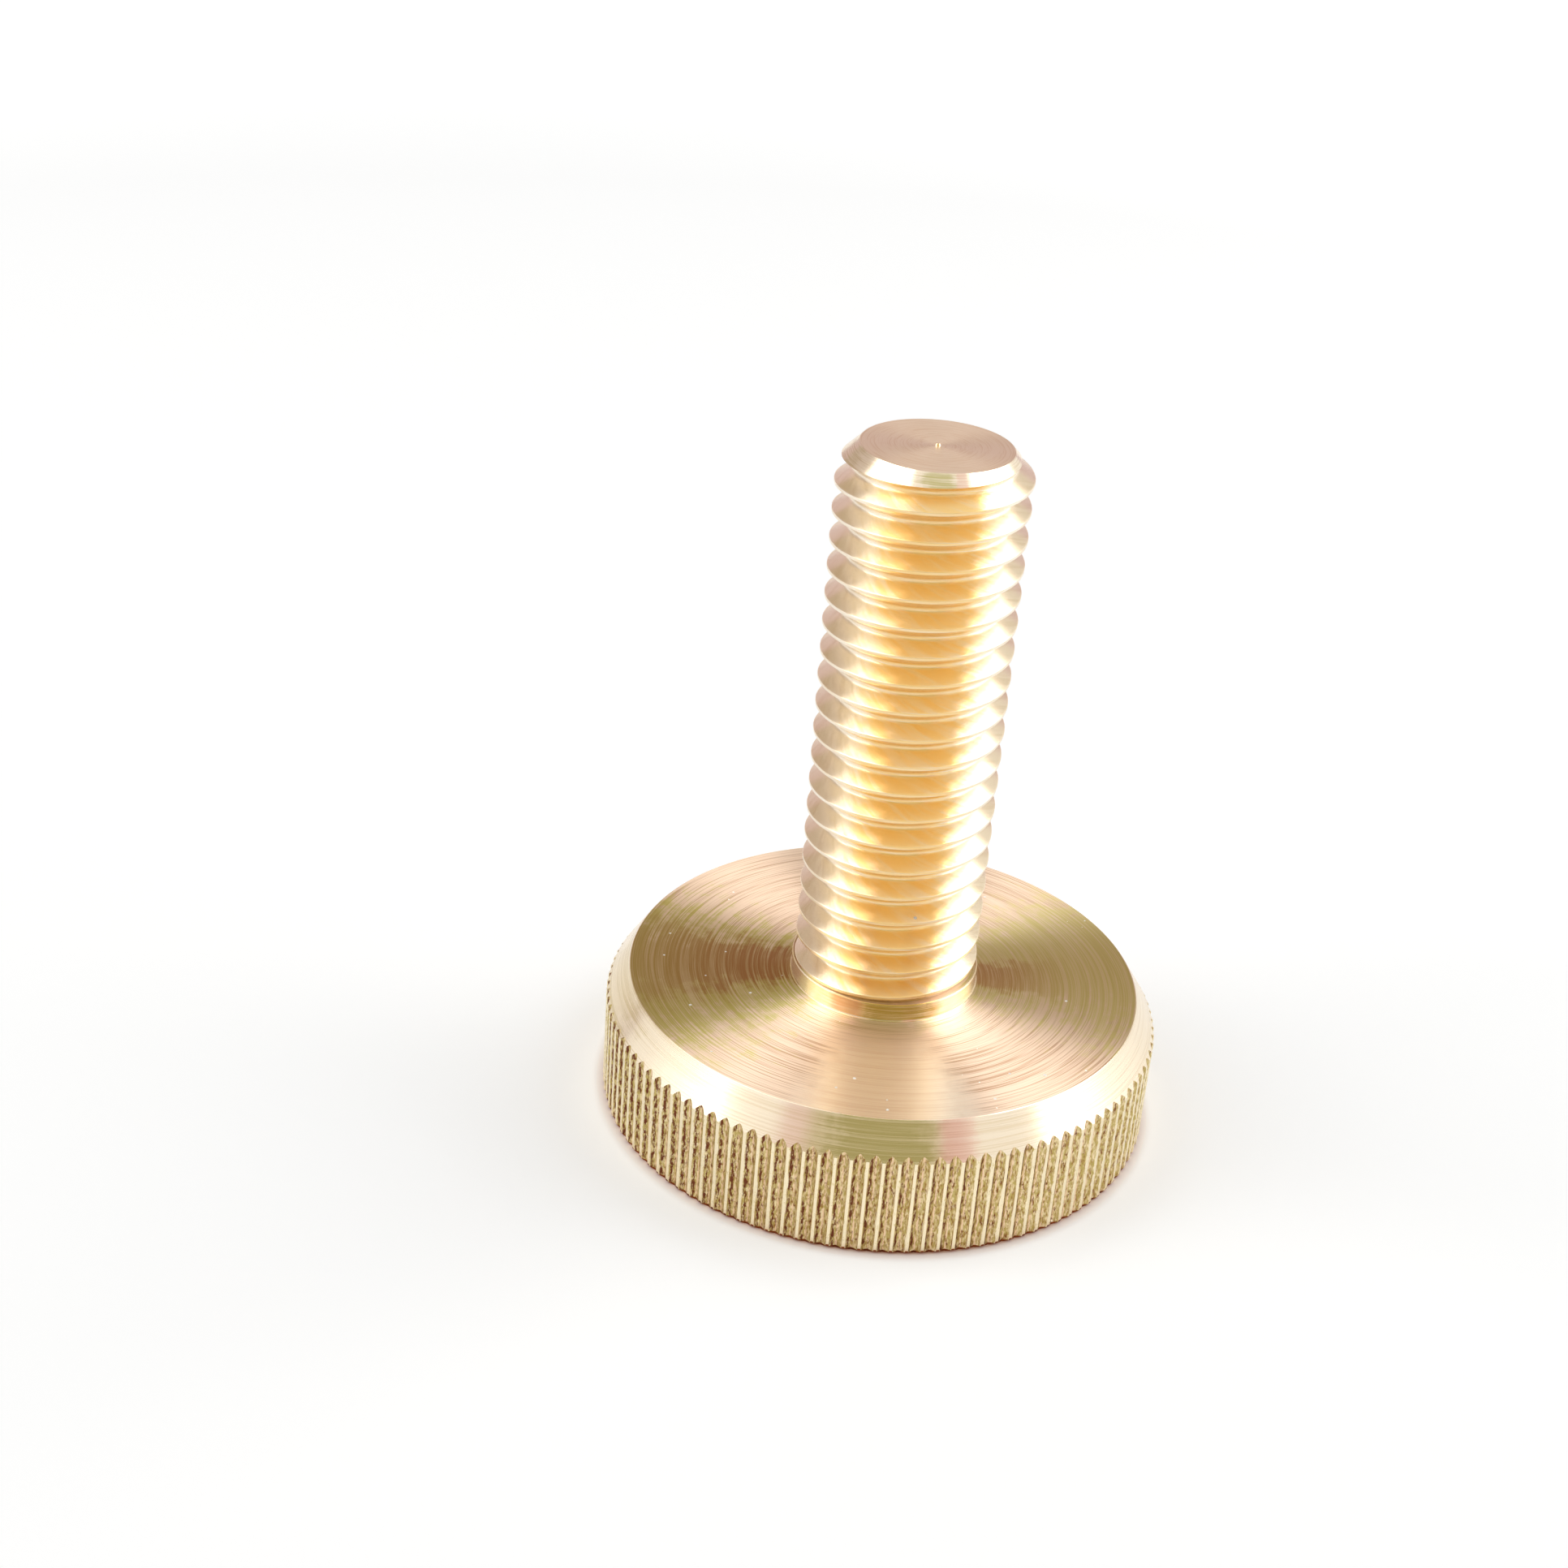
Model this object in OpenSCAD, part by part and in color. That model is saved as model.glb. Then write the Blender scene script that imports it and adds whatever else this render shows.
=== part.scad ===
// Brass thumb screw: a knurled round head and a threaded shank, turned from one bar.
// It stands on the head's flat end, with the shank pointing up. Sizes are in millimetres.

/* [Head] */
// Diameter over the ridges of the knurl
head_d = 29.8; // [20:0.1:60]
// Thickness of the head, from its flat end to the seat round the shank
head_h = 7.4; // [5:0.1:20]
// How far the chamfer round the seat runs in towards the shank
seat_chamfer_w = 1.2; // [0.5:0.1:2]
// How far the chamfer round the seat runs down the rim
seat_chamfer_h = 1.8; // [0.5:0.1:2.5]
// Edge break round the flat end
end_break = 0.25; // [0.1:0.05:0.6]

/* [Knurl] */
// Spacing of the straight ridges round the rim
knurl_pitch = 0.8; // [0.6:0.1:1.6]
// Depth of the grooves between the ridges
knurl_depth = 0.2; // [0.1:0.05:0.4]
// Width of the land on top of each ridge
knurl_land = 0.2; // [0.05:0.05:0.3]
// Width of the floor of each groove
knurl_floor = 0.1; // [0.05:0.05:0.3]
// Angle of one ridge's middle round the rim
knurl_start = 0; // [0:0.01:3]

/* [Shank] */
// Length of the shank, from the seat to the tip
shank_l = 30; // [12:1:80]
// Diameter of the plain neck next to the seat
neck_d = 10; // [8:0.1:16]
// Length of the plain neck
neck_l = 1; // [0.5:0.1:4]
// Size of the 45 degree chamfer at the tip
tip_chamfer = 1.1; // [0.3:0.05:2]
// Diameter of the small pip that facing leaves in the middle of the tip
pip_d = 0.4; // [0.2:0.1:1]
// Height of the pip
pip_h = 0.12; // [0.05:0.01:0.4]

/* [Thread] */
// How far the thread's crests lie under the neck's surface
crest_clearance = 0.1; // [0.02:0.01:0.3]
// Pitch of the right-hand thread
thread_pitch = 1.5; // [1:0.05:2]
// Angle round the shank at which the top turn's crest meets the tip's plane
thread_start = 315; // [0:1:359]
// Turns over which the groove fades out into the neck
runout_turns = 0.5; // [0.25:0.05:1]

/* [Hidden] */

overall_h = head_h + shank_l;
knurl_teeth = round(PI * head_d / knurl_pitch);
knurl_top_r = head_d / 2;
knurl_root_r = knurl_top_r - knurl_depth;
// The foot of the end break lies this much further in, so that it never meets the groove floors
break_gap = 0.005;

// 60 degree metric profile: the height of an external thread is a fixed share of its pitch,
// its crest is an eighth of the pitch wide, and the root takes what the flanks leave
height_share = 0.6134;
flank_angle = 30;
thread_top_r = neck_d / 2 - crest_clearance;
thread_depth = height_share * thread_pitch;
crest_w = thread_pitch / 8;
flank_w = thread_depth * tan(flank_angle);
root_w = thread_pitch - crest_w - 2 * flank_w;
steps_per_turn = 36;
// Share of the depth that the groove keeps inside the neck, so that no face of it folds flat
least_groove = 0.02;
// How far one turned body runs into or past the next
overlap = 1;
// The helix starts inside the neck and runs past the tip, which is then turned to length
thread_z0 = head_h - thread_pitch;
thread_steps = ceil(steps_per_turn * ((overall_h - thread_z0) / thread_pitch + 1.5));
neck_top = head_h + neck_l;

// Height of the middle of the crest at step i of the helix
function crest_z(i) = thread_z0 + thread_pitch * i / steps_per_turn;
// Angle round the shank at step i, counted back from where the top crest meets the tip
function crest_angle(i) = thread_start - 360 * (overall_h - crest_z(i)) / thread_pitch;
// Share of the full groove depth at height z, which fades to nothing at the neck
function groove_share(z) =
    let(run = (z - neck_top + thread_pitch / 4) / (runout_turns * thread_pitch))
    run < 0 ? least_groove : run > 1 ? 1 : max(least_groove, sin(90 * run));
// The profile's four corners at step i, from the crest's lower edge up to the next groove's top
function profile(i) =
    let(z = crest_z(i), groove_z = z + crest_w / 2 + flank_w + root_w / 2)
    let(root_r = thread_top_r - thread_depth * groove_share(groove_z))
    [
        [thread_top_r, z - crest_w / 2],
        [thread_top_r, z + crest_w / 2],
        [root_r, z + crest_w / 2 + flank_w],
        [root_r, z + crest_w / 2 + flank_w + root_w],
    ];

// The turned outline of the head, without the knurl
module head_blank() {
    rotate_extrude($fn = 180)
        polygon([
            [0, 0],
            [knurl_top_r - end_break - break_gap, 0],
            [knurl_top_r, end_break],
            [knurl_top_r, head_h - seat_chamfer_h],
            [knurl_top_r - seat_chamfer_w, head_h],
            [0, head_h],
        ]);
}

// A prism with one straight ridge and groove for each tooth of the knurl
module knurl_prism() {
    tooth = 360 / knurl_teeth;
    land = knurl_land / knurl_top_r * 90 / PI;
    floor_a = knurl_floor / knurl_root_r * 90 / PI;
    outline = [
        for (i = [0 : knurl_teeth - 1])
            for (corner = [
                [knurl_top_r, -land],
                [knurl_top_r, land],
                [knurl_root_r, tooth / 2 - floor_a],
                [knurl_root_r, tooth / 2 + floor_a],
            ])
                let(a = knurl_start + i * tooth + corner[1])
                corner[0] * [cos(a), sin(a)]
    ];
    translate([0, 0, -overlap])
        linear_extrude(head_h + 2 * overlap)
            polygon(outline);
}

module head() {
    color("#d9bb7c")
        intersection() {
            head_blank();
            knurl_prism();
        }
}

// The whole helix as one closed body, a little longer than the finished thread
module thread_helix() {
    corners = 4;
    sections = [for (i = [0 : thread_steps]) profile(i)];
    points = [
        for (i = [0 : thread_steps])
            for (corner = sections[i])
                [
                    corner[0] * cos(crest_angle(i)),
                    corner[0] * sin(crest_angle(i)),
                    corner[1],
                ],
        [0, 0, thread_z0 - thread_pitch / 2],
        [0, 0, crest_z(thread_steps) + thread_pitch],
    ];
    bottom = len(points) - 2;
    top = len(points) - 1;
    last = thread_steps - steps_per_turn;
    // Corner k of step i; the corner after the last one is the first one a turn further on
    function at(i, k) = k < corners ? i * corners + k : (i + steps_per_turn) * corners;
    walls = [
        for (i = [0 : last - 1])
            for (k = [0 : corners - 1])
                for (face = [
                    [at(i, k), at(i, k + 1), at(i + 1, k + 1)],
                    [at(i, k), at(i + 1, k + 1), at(i + 1, k)],
                ])
                    face
    ];
    bottom_cap = [
        for (i = [0 : steps_per_turn - 1]) [bottom, at(i, 0), at(i + 1, 0)],
        for (k = [0 : corners - 1]) [bottom, at(0, k + 1), at(0, k)],
    ];
    top_cap = [
        for (i = [last : last + steps_per_turn - 1]) [top, at(i + 1, 0), at(i, 0)],
        for (k = [0 : corners - 1]) [top, at(last, k), at(last, k + 1)],
    ];
    polyhedron(points = points, faces = concat(walls, bottom_cap, top_cap));
}

// The turned outline of the shank, down into the head
module shank_blank() {
    tip_r = thread_top_r - tip_chamfer;
    blank_r = neck_d / 2 + overlap;
    foot = head_h - thread_pitch / 2;
    rotate_extrude($fn = 120)
        polygon([
            [0, foot],
            [blank_r, foot],
            [blank_r, overall_h - (blank_r - tip_r)],
            [tip_r, overall_h],
            [0, overall_h],
        ]);
}

module shank() {
    color("#e3ba66") {
        intersection() {
            thread_helix();
            shank_blank();
        }
        translate([0, 0, head_h - overlap])
            cylinder(d = neck_d, h = neck_l + overlap, $fn = 120);
        translate([0, 0, overall_h - pip_h])
            cylinder(d1 = pip_d, d2 = pip_d / 2, h = 2 * pip_h, $fn = 48);
    }
}

module thumb_screw() {
    union() {
        head();
        shank();
    }
}

thumb_screw();
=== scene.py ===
"""A turned brass thumb screw: a straight-knurled round head with a threaded shank.

It stands on its head. Lengths are in millimetres and angles in degrees in the fields below, and become
metres and radians as the meshes are made. +Z runs along the screw's axis, from the head's flat end at 0 to
the tip.
"""

import logging
import math
from dataclasses import dataclass, field
from enum import Enum
from typing import Callable, ClassVar, Sequence

import bpy
from mathutils import Matrix, Vector, noise


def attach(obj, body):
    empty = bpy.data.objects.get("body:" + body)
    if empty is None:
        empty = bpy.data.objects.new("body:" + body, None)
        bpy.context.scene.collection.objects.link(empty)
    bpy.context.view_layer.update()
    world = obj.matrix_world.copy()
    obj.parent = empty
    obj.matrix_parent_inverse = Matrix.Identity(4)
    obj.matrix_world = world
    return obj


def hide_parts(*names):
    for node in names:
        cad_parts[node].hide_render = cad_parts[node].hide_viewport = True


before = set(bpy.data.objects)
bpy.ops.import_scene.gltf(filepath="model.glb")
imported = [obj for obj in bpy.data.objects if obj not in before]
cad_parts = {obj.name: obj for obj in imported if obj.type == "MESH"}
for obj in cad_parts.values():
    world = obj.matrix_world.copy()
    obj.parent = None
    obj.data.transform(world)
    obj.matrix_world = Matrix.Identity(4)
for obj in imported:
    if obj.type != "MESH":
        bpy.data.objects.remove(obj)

LOG = logging.getLogger("thumb_screw")
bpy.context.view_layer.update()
NODE = "thumb_screw"
MM = 0.001
# Two places closer than this, in metres, count as one where rings and turns meet
SAME_PLACE = 1e-6
# Points closer than this, in metres, are doubles that a cut has left
DOUBLED = 1e-7
WHITE = "#FFFFFF"

Pair = tuple[float, float]
# What can feed a node's input: a node stands for the first of its outputs that is in use
Source = bpy.types.Node | bpy.types.NodeSocket


# ---------------------------------------------------------------------------------------------- helpers


def deselect_all() -> None:
    """Leaves edit mode and selects nothing."""
    if bpy.context.object and bpy.context.object.mode != "OBJECT":
        bpy.ops.object.mode_set(mode="OBJECT")
    bpy.ops.object.select_all(action="DESELECT")


def activate(piece: bpy.types.Object) -> None:
    """Makes one object the only selected and the active one.

    Args:
        piece: The object to work on.
    """
    deselect_all()
    piece.select_set(True)
    bpy.context.view_layer.objects.active = piece


def select_vertices(piece: bpy.types.Object, wanted: Callable[[int, Vector], bool]) -> None:
    """Selects vertices by their place, and leaves the object in edit mode with vertex selection.

    Args:
        piece: The mesh object to select in.
        wanted: Says from a vertex's index and place whether it is selected.
    """
    bpy.ops.object.mode_set(mode="EDIT")
    bpy.ops.mesh.select_mode(type="VERT")
    bpy.ops.mesh.select_all(action="DESELECT")
    bpy.ops.object.mode_set(mode="OBJECT")
    for vertex in piece.data.vertices:
        vertex.select = wanted(vertex.index, vertex.co)
    bpy.ops.object.mode_set(mode="EDIT")


def lift_new(height: float) -> bpy.types.Object:
    """Lifts the primitive that was just added, in its mesh, so that its object stays at the origin.

    Args:
        height: How far it is lifted, in metres.

    Returns:
        The object, in edit mode with all of it selected.
    """
    piece = bpy.context.object
    activate(piece)
    bpy.ops.object.mode_set(mode="EDIT")
    bpy.ops.mesh.select_all(action="SELECT")
    bpy.ops.transform.translate(value=(0.0, 0.0, height))
    return piece


def ring_out(radius_scale: float, rise: float) -> None:
    """Extrudes the selected ring of edges, then scales it about the axis and lifts it.

    Args:
        radius_scale: The new ring's radius as a share of the last one's.
        rise: How far the new ring stands above the last one, in metres.
    """
    bpy.ops.mesh.extrude_region_move(TRANSFORM_OT_translate={"value": (0.0, 0.0, rise)})
    if radius_scale != 1.0:
        size = (radius_scale, radius_scale, 1.0)
        bpy.ops.transform.resize(value=size, center_override=(0.0, 0.0, 0.0))


def draw_wire(name: str, points: Sequence[Vector]) -> bpy.types.Object:
    """Draws a line point by point, as a single vertex that is extruded from each place to the next.

    Args:
        name: The new object's name.
        points: The places, in metres.

    Returns:
        The wire, in edit mode.
    """
    deselect_all()
    bpy.ops.mesh.primitive_plane_add(size=1.0 * MM, location=(0.0, 0.0, 0.0))
    wire = bpy.context.object
    wire.name = name
    activate(wire)
    select_vertices(wire, lambda i, _: i > 0)
    bpy.ops.mesh.delete(type="VERT")
    bpy.ops.mesh.select_all(action="SELECT")
    bpy.ops.transform.translate(value=points[0] - wire.data.vertices[0].co)
    for last, place in zip(points, points[1:]):
        bpy.ops.mesh.extrude_region_move(TRANSFORM_OT_translate={"value": place - last})
    return wire


def apply_modifier(piece: bpy.types.Object, kind: str, **settings: object) -> None:
    """Adds one modifier, sets it and applies it.

    Args:
        piece: The object to change.
        kind: The modifier's type name.
        **settings: Its properties.
    """
    activate(piece)
    modifier = piece.modifiers.new(kind.title(), kind)
    for name, value in settings.items():
        setattr(modifier, name, value)
    bpy.ops.object.modifier_apply(modifier=modifier.name)


def combine(piece: bpy.types.Object, other: bpy.types.Object, operation: str) -> None:
    """Joins, cuts or trims one closed body with another, which is then removed.

    Args:
        piece: The body that is kept.
        other: The body that acts on it.
        operation: UNION, DIFFERENCE or INTERSECT.
    """
    apply_modifier(piece, "BOOLEAN", operation=operation, solver="MANIFOLD", object=other)
    bpy.data.objects.remove(other, do_unlink=True)


def recalculate_normals(piece: bpy.types.Object) -> None:
    """Merges doubled points and turns every face outwards.

    Args:
        piece: The closed mesh object to clean.
    """
    activate(piece)
    bpy.ops.object.mode_set(mode="EDIT")
    bpy.ops.mesh.select_all(action="SELECT")
    bpy.ops.mesh.remove_doubles(threshold=DOUBLED)
    bpy.ops.mesh.normals_make_consistent(inside=False)
    bpy.ops.object.mode_set(mode="OBJECT")


# ------------------------------------------------------------------------------------------------ pieces


@dataclass(frozen=True)
class Thread:
    """The sizes of the metric thread and the points of its section."""

    outer_radius: float = 4.9
    pitch: float = 1.5
    depth: float = 0.92
    crest_width: float = 0.17
    flank_angle: float = 30.0
    start_angle: float = 315.0
    runout_turns: float = 0.5
    # Width of the broken edge of a crest, and its middle point as shares of that, down and in
    edge: float = 0.025
    edge_middle: Pair = (0.3, 0.2)
    # Points down a flank: the first two in edge widths, the others as shares of the way to the root. The
    # second and the last keep the flank between them shaded flat.
    upper_flank: Pair = (1.5, 2.4)
    lower_flank: Pair = (0.5, 0.95)
    root_angles: tuple[int, ...] = (60, 48, 36, 24, 12)

    def profile(self) -> list[Pair]:
        """One pitch of the section, from the middle of a crest to the middle of the next.

        Returns:
            Depths under the crest and heights, in millimetres: a flat crest, straight flanks and a round
            root.
        """
        slope = math.tan(math.radians(self.flank_angle))
        half_crest = self.crest_width / 2
        root_radius = (self.pitch / 2 - half_crest - self.depth * slope) / slope
        down, back = self.edge_middle
        lower = [
            (0.0, 0.0),
            (0.0, half_crest - self.edge),
            (down * self.edge, half_crest - back * self.edge),
        ]
        last = self.depth - root_radius / 2
        rows = [share * self.edge for share in self.upper_flank]
        rows += [share * last for share in self.lower_flank]
        for depth in rows:
            lower.append((depth, half_crest + depth * slope))
        for angle in self.root_angles:
            turn = math.radians(angle)
            depth = self.depth - root_radius * (1 - math.cos(turn))
            lower.append((depth, self.pitch / 2 - root_radius * math.sin(turn)))
        upper = [(depth, self.pitch - height) for depth, height in reversed(lower)]
        return lower + [(self.depth, self.pitch / 2)] + upper


@dataclass
class KnurledHead:
    """The head and the plain neck on it, as one closed body."""

    radius: float = 14.899
    height: float = 7.4
    face_radius: float = 13.7
    chamfer_rise: float = 1.8
    end_break: float = 0.25
    end_angles: tuple[int, ...] = (25, 50, 70, 90)
    neck_radius: float = 5.0
    neck_length: float = 1.0
    # Width of the rounding between the chamfer and the seat, and its middle point as a share, out and down
    seat_edge: float = 0.05
    seat_edge_middle: Pair = (0.3, 0.2)
    # Small rounds of the neck, out from its side and up from the seat, and in and down from its top corner
    neck_foot: tuple[Pair, ...] = ((0.08, 0.0), (0.02, 0.02), (0.0, 0.08))
    neck_corner: tuple[Pair, ...] = ((0.0, 0.06), (0.02, 0.015), (0.06, 0.0))
    # Radii of the rings that carry the flat faces in towards the axis
    wide_ring: float = 9.0
    small_ring: float = 2.0
    rim_rows: int = 16
    teeth: int = 117
    # Half a tooth, from the ridge's middle to the groove's: distance round the rim and depth
    tooth: tuple[Pair, ...] = (
        (0.0, 0.0),
        (0.08, 0.0),
        (0.11, 0.03),
        (0.2, 0.105),
        (0.31, 0.17),
        (0.4, 0.2),
    )
    # The torn walls: how deep, how far from land and floor, how many swings in a millimetre, and how much
    # more is torn away than is pushed up
    tear: float = 0.05
    tear_gap: float = 0.02
    tear_grain: tuple[float, float, float] = (2.1, 2.1, 1.3)
    tear_loss: float = 0.4

    @property
    def chamfer_slope(self) -> float:
        """How fast the chamfer rises as it runs in."""
        return self.chamfer_rise / (self.radius - self.face_radius)

    def outline(self) -> list[Vector]:
        """One tooth of the rim's outline, from a ridge's middle to the next one's.

        Returns:
            The places, in metres, at height 0; the first ridge's middle lies on +X.
        """
        pitch = math.tau / self.teeth
        half = [(distance / self.radius, self.radius - depth) for distance, depth in self.tooth]
        other = [(pitch - angle, r) for angle, r in reversed(half[:-1])]
        whole = half[:-1] + [(pitch / 2, half[-1][1])] + other
        return [Vector((r * math.cos(angle), r * math.sin(angle), 0.0)) * MM for angle, r in whole]

    def build(self) -> bpy.types.Object:
        """Models the head from one toothed ring, extruded up round the rim and in across the seat.

        Returns:
            The closed body.
        """
        piece = draw_wire("head_body", self.outline())
        bpy.ops.mesh.select_all(action="SELECT")
        middle, axis = (0.0, 0.0, 0.0), (0.0, 0.0, 1.0)
        bpy.ops.mesh.spin(steps=self.teeth, dupli=True, angle=math.tau, center=middle, axis=axis)
        bpy.ops.mesh.select_all(action="SELECT")
        bpy.ops.mesh.remove_doubles(threshold=SAME_PLACE)
        self.raise_rim(piece)
        self.close_seat()
        self.close_end(piece)
        bpy.ops.object.mode_set(mode="OBJECT")
        self.tear_grooves(piece)
        recalculate_normals(piece)
        return piece

    def raise_rim(self, piece: bpy.types.Object) -> None:
        """Extrudes the toothed outline up to the chamfer, which it meets higher in the grooves.

        Args:
            piece: The body, which holds only the outline at height 0.
        """
        bpy.ops.mesh.select_all(action="SELECT")
        bpy.ops.transform.translate(value=(0.0, 0.0, self.end_break * MM))
        straight = self.height - self.chamfer_rise - self.end_break
        for _ in range(self.rim_rows):
            ring_out(1.0, straight / self.rim_rows * MM)
        top = (self.height - self.chamfer_rise) * MM

        def on_row(place: Vector, radius: float) -> bool:
            """Tells whether a point of the top ring lies at a radius, in metres."""
            return abs(place.xy.length - radius) < SAME_PLACE and abs(place.z - top) < SAME_PLACE

        for depth in sorted({depth for _, depth in self.tooth if depth}):
            radius = (self.radius - depth) * MM
            select_vertices(piece, lambda _, place: on_row(place, radius))
            bpy.ops.transform.translate(value=(0.0, 0.0, self.chamfer_slope * depth * MM))
        select_vertices(piece, lambda _, place: place.z > top - SAME_PLACE)

    def close_seat(self) -> None:
        """Runs the chamfer in to the seat's edge, the seat to the neck, and the neck up to its end."""
        edge, slope = self.seat_edge, self.chamfer_slope
        middle_out, middle_down = self.seat_edge_middle
        top = self.height + self.neck_length
        # Each row is a radius and a height
        rows = [
            (self.face_radius + edge, self.height - slope * edge),
            (self.face_radius + middle_out * edge, self.height - middle_down * edge * slope),
            (self.face_radius - edge / 2, self.height),
            (self.wide_ring, self.height),
        ]
        rows += [(self.neck_radius + out, self.height + up) for out, up in self.neck_foot]
        rows += [(self.neck_radius - into, top - down) for into, down in self.neck_corner]
        self.close_with(rows + [(self.small_ring, top)])

    def close_end(self, piece: bpy.types.Object) -> None:
        """Rounds the lower edge of the rim and closes the flat end.

        Args:
            piece: The body, open at its lower edge.
        """
        lowest_ring = self.end_break * MM + SAME_PLACE
        select_vertices(piece, lambda _, place: place.z < lowest_ring)
        rows = [
            (
                self.radius - self.end_break * (1 - math.cos(math.radians(angle))),
                self.end_break * (1 - math.sin(math.radians(angle))),
            )
            for angle in self.end_angles
        ]
        self.close_with(rows + [(self.wide_ring, 0.0), (self.small_ring, 0.0)])

    def close_with(self, rows: Sequence[Pair]) -> None:
        """Extrudes the selected ring through rows of points and closes the last one on the axis.

        A point that is already inside a row's circle stays at its radius.

        Args:
            rows: Each ring's radius and height, in millimetres.
        """
        piece = bpy.context.object
        for radius, height in rows:
            bpy.ops.mesh.extrude_region_move()
            bpy.ops.object.mode_set(mode="OBJECT")
            for vertex in piece.data.vertices:
                if vertex.select:
                    flat = vertex.co.xy.length
                    vertex.co.xy *= min(radius * MM, flat) / flat
                    vertex.co.z = height * MM
            bpy.ops.object.mode_set(mode="EDIT")
        bpy.ops.mesh.extrude_region_move()
        bpy.ops.mesh.merge(type="CENTER")

    def tear_grooves(self, piece: bpy.types.Object) -> None:
        """Makes the grooves' walls uneven, as a knurl rolled into soft brass tears them.

        Args:
            piece: The closed body.
        """
        land = (self.radius - self.tear_gap) * MM
        deepest = (self.radius - self.tooth[-1][1] - self.tear_gap) * MM
        top = (self.height - self.chamfer_rise) * MM
        for vertex in piece.data.vertices:
            flat = vertex.co.xy.length
            if deepest < flat < land and self.end_break * MM < vertex.co.z < top:
                spot = Vector([grain * side for grain, side in zip(self.tear_grain, vertex.co / MM)])
                uneven = noise.noise(spot) - self.tear_loss
                vertex.co.xy *= 1 + self.tear * uneven * MM / flat


@dataclass
class ThreadedShank:
    """The threaded part of the shank with its chamfered tip, as one closed body."""

    thread: Thread = field(default_factory=Thread)
    seat_height: float = 7.4
    neck_length: float = 1.0
    length: float = 30.0
    tip_chamfer: float = 1.1
    pip_radius: float = 0.2
    pip_height: float = 0.12
    pip_sides: int = 32
    # Steps of the helix in one turn
    steps: int = 84
    # Share of its depth that the groove keeps in the neck, so that no face of it folds flat
    least_groove: float = 0.02
    # The die's uneven cut: how deep, how many swings in a millimetre, how much more often they come along
    # the axis, and how much more is cut away than is left
    waviness: float = 0.012
    wave_grain: float = 0.7
    wave_stretch: float = 3.0
    wave_loss: float = 0.6
    # How far the blank stands outside the thread, and how near the axis the helix holds only its fans
    margin: float = 1.0
    blank_sides: int = 192
    core: float = 1.0

    @property
    def top(self) -> float:
        """Height of the tip's face."""
        return self.seat_height + self.length

    def build(self) -> bpy.types.Object:
        """Models the thread as a screwed section and turns it to length.

        Returns:
            The closed body.
        """
        piece = self.helix()
        combine(piece, self.blank(), "INTERSECT")
        combine(piece, self.pip(), "UNION")
        recalculate_normals(piece)
        return piece

    def helix(self) -> bpy.types.Object:
        """Draws one pitch of the section point by point and screws it up the shank.

        Returns:
            A closed body that runs past the tip.
        """
        shape = self.thread
        foot = self.seat_height - shape.pitch
        turns = math.ceil((self.top - foot) / shape.pitch) + 1
        section = [
            Vector((shape.outer_radius - depth, 0.0, foot + height)) * MM
            for depth, height in shape.profile()
        ]
        piece = draw_wire("shank_body", section)
        bpy.ops.object.mode_set(mode="OBJECT")
        apply_modifier(
            piece,
            "SCREW",
            axis="Z",
            angle=math.tau,
            screw_offset=shape.pitch * MM,
            iterations=turns,
            steps=self.steps,
            render_steps=self.steps,
            use_smooth_shade=True,
        )
        self.close_helix(piece)
        self.fade_groove(piece)
        # The section was drawn at angle 0, where its crest meets the tip's plane a few turns up
        rise = (self.top - foot) / shape.pitch * 360
        piece.data.transform(Matrix.Rotation(math.radians(shape.start_angle - rise), 4, "Z"))
        recalculate_normals(piece)
        return piece

    def close_helix(self, piece: bpy.types.Object) -> None:
        """Merges the turns and closes the two open ends of the helix with a fan to the axis.

        Args:
            piece: The open helix.
        """
        middle = (self.seat_height + self.top) / 2 * MM
        activate(piece)
        bpy.ops.object.mode_set(mode="EDIT")
        bpy.ops.mesh.select_all(action="SELECT")
        bpy.ops.mesh.remove_doubles(threshold=SAME_PLACE)
        for low in (True, False):
            bpy.ops.mesh.select_all(action="DESELECT")
            bpy.ops.mesh.select_mode(type="EDGE")
            bpy.ops.mesh.select_non_manifold(
                extend=False, use_wire=False, use_multi_face=False, use_non_contiguous=False, use_verts=False
            )
            bpy.ops.object.mode_set(mode="OBJECT")
            places = piece.data.vertices
            for edge in piece.data.edges:
                if edge.select and (places[edge.vertices[0]].co.z < middle) != low:
                    edge.select = False
            chosen = {v for edge in piece.data.edges if edge.select for v in edge.vertices}
            for vertex in places:
                vertex.select = vertex.index in chosen
            bpy.ops.object.mode_set(mode="EDIT")
            bpy.ops.mesh.extrude_region_move()
            bpy.ops.mesh.merge(type="CENTER")
        bpy.ops.object.mode_set(mode="OBJECT")

    def fade_groove(self, piece: bpy.types.Object) -> None:
        """Lets the groove grow shallow where it runs into the neck, and makes the cut slightly uneven.

        Args:
            piece: The closed helix, before it is turned to its start angle.
        """
        shape = self.thread
        neck_top = self.seat_height + self.neck_length
        for vertex in piece.data.vertices:
            radius = vertex.co.xy.length / MM
            if radius < self.core:
                continue
            height = vertex.co.z / MM
            run = (height - neck_top + shape.pitch / 4) / (shape.runout_turns * shape.pitch)
            share = max(self.least_groove, math.sin(math.pi / 2 * min(max(run, 0.0), 1.0)))
            spot = Vector((vertex.co.x, vertex.co.y, self.wave_stretch * vertex.co.z)) / MM
            uneven = self.waviness * (noise.noise(self.wave_grain * spot) - self.wave_loss)
            depth = (shape.outer_radius - radius) * share
            vertex.co.xy *= (shape.outer_radius - depth + uneven) / radius

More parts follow.
